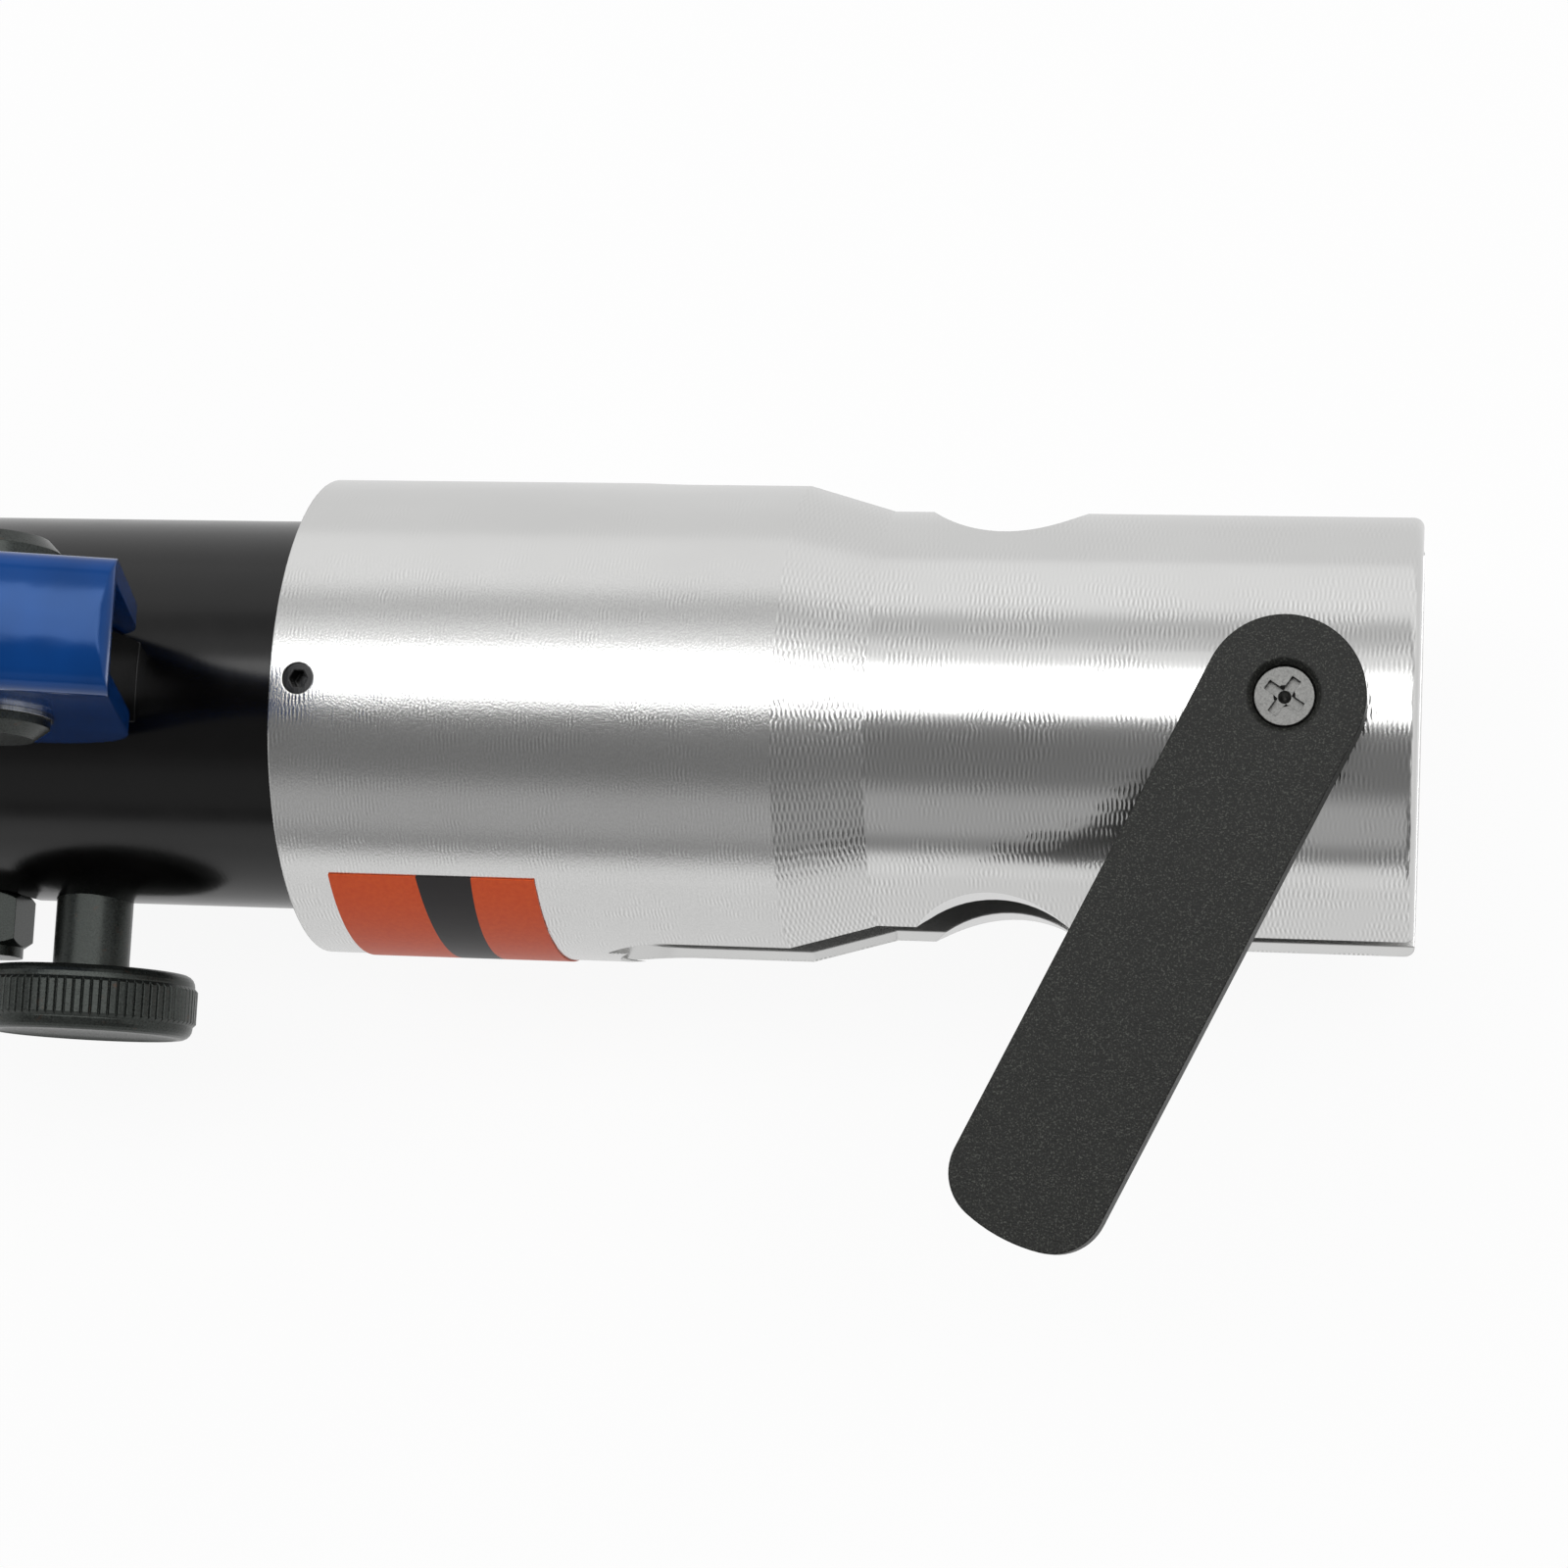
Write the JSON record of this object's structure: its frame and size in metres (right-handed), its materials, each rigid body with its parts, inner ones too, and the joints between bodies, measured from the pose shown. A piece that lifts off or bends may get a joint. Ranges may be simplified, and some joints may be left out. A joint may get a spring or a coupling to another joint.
{
  "type": "hydraulic crimping tool",
  "caption": "Manual hydraulic crimping tool with a slotted aluminium fork head, locking jaw pin and lever, black pump body, blue yoke on the pump handle, knurled release knob and fixed handle",
  "frame": {"origin": "centre of the jaw pin's bore, on the tool's axis, midway between the fork's two cheeks", "axes": "+X along the tool towards the nose, +Y across the tool (away from the release knob), +Z along the jaw pin towards the lock lever and the pump handle"},
  "size_m": [0.5499, 0.0972, 0.2098],
  "materials": {
    "turned_aluminium": "turned",
    "black_steel": "satin",
    "dark_steel": "oiled",
    "bright_steel": "ground",
    "blue_paint": "gloss",
    "bronze": "machined",
    "label_orange": "satin",
    "black_plastic": "grained",
    "black_rubber": "matte"
  },
  "bodies": {
    "body": {"pump_body": "black_steel", "gland_nut": "bronze", "rod_wiper": "black_rubber", "return_spring": "bright_steel", "suction_ball": "bright_steel", "delivery_ball": "bright_steel", "plunger_gland": "bronze", "plunger_seal": "black_rubber", "pivot_pin": "dark_steel", "pivot_washer": "bright_steel", "pivot_nut": "dark_steel", "relief_plug": "black_steel", "relief_spring": "bright_steel", "relief_ball": "bright_steel", "oil_tank": "black_steel", "oil_bladder": "black_rubber", "bladder_clamp": "bright_steel", "tank_cap": "black_plastic", "cap_seal": "black_rubber", "filler_plug": "bright_steel", "fixed_grip": "black_rubber"},
    "head": {"fork_head": "turned_aluminium", "head_set_screws": "black_steel", "head_label": "label_orange"},
    "pin": {"jaw_pin": "bright_steel", "detent_ball": "bright_steel", "detent_spring": "bright_steel", "lever_screw": "bright_steel"},
    "lever": {"lock_lever": "black_plastic"},
    "ram": {"piston_rod": "bright_steel", "piston_seal": "black_rubber", "roller_carriage": "dark_steel", "carriage_dowel": "bright_steel", "roller_pins": "bright_steel"},
    "roller_a": {"upper_roller": "bright_steel"},
    "roller_b": {"lower_roller": "bright_steel"},
    "pump_handle": {"handle_yoke": "blue_paint", "handle_tube": "black_steel", "tube_pin": "black_steel", "handle_grip": "black_rubber", "handle_plug": "black_plastic", "plunger_pin": "bright_steel", "plunger_clip": "bright_steel"},
    "pump_plunger": {"plunger": "bright_steel"},
    "release": {"release_spindle": "dark_steel", "spindle_seal": "black_rubber", "release_knob": "dark_steel"}
  },
  "joints": [
    {"name": "head_swivel", "type": "hinge", "parent": "body", "child": "head", "pos_m": [-0.1209, 0, 0], "axis": [1, 0, 0], "range_deg": [-175, 175]},
    {"name": "pin_slide", "type": "slide", "parent": "head", "child": "pin", "axis": [0, 0, 1], "range_m": [0, 0.036]},
    {"name": "lever_turn", "type": "hinge", "parent": "pin", "child": "lever", "pos_m": [0, 0, 0.031], "axis": [0, 0, 1], "range_deg": [-39, 270]},
    {"name": "ram_slide", "type": "slide", "parent": "head", "child": "ram", "axis": [1, 0, 0], "range_m": [0, 0.03], "stiffness_N_per_m": 600, "springref_m": -0.01, "deforming": ["return_spring"]},
    {"name": "roller_a_spin", "type": "hinge", "parent": "ram", "child": "roller_a", "pos_m": [-0.0615, 0.011, 0], "axis": [0, 0, 1], "continuous": true},
    {"name": "roller_b_spin", "type": "hinge", "parent": "ram", "child": "roller_b", "pos_m": [-0.0615, -0.011, 0], "axis": [0, 0, 1], "continuous": true},
    {"name": "pump_stroke", "type": "hinge", "parent": "body", "child": "pump_handle", "pos_m": [-0.1538, 0, 0.0508], "axis": [0, 1, 0], "range_deg": [-15.5, 34.5]},
    {"name": "plunger_slide", "type": "slide", "parent": "body", "child": "pump_plunger", "axis": [0, 0, 1], "range_m": [-0.006, 0.0131]},
    {"name": "release_turn", "type": "hinge", "parent": "body", "child": "release", "pos_m": [-0.15655, -0.03, 0], "axis": [0, -1, 0], "range_deg": [0, 180]}
  ],
  "couplings": [
    {"joint": "plunger_slide", "follows": "pump_stroke", "m_per_rad": 0.0215}
  ]
}
